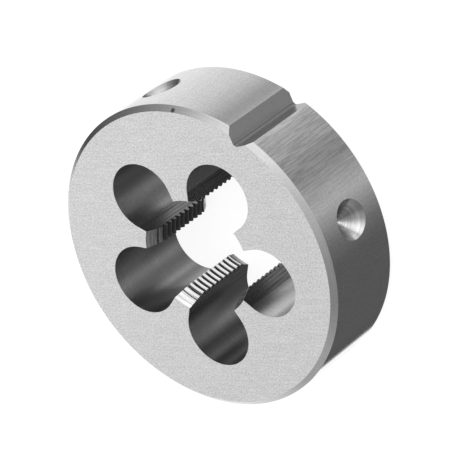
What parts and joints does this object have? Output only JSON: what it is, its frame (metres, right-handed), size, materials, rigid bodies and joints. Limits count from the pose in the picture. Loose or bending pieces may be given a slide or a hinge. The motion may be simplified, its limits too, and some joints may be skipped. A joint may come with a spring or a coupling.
{
  "type": "round threading die",
  "caption": "Closed round threading die: a flat steel disc with round chip holes, toothed lands round a central bore, a V notch and cone seats in its rim.",
  "frame": {"origin": "centre of the lower face, on the thread axis", "axes": "+Z along the thread axis, out of the upper face; +Y towards the notch in the rim"},
  "size_m": [0.045, 0.0449, 0.014],
  "materials": {
    "ground_steel": "fine ground tool steel, satin, bare"
  },
  "bodies": {
    "root": {"threading_die": "ground_steel"}
  },
  "joints": []
}
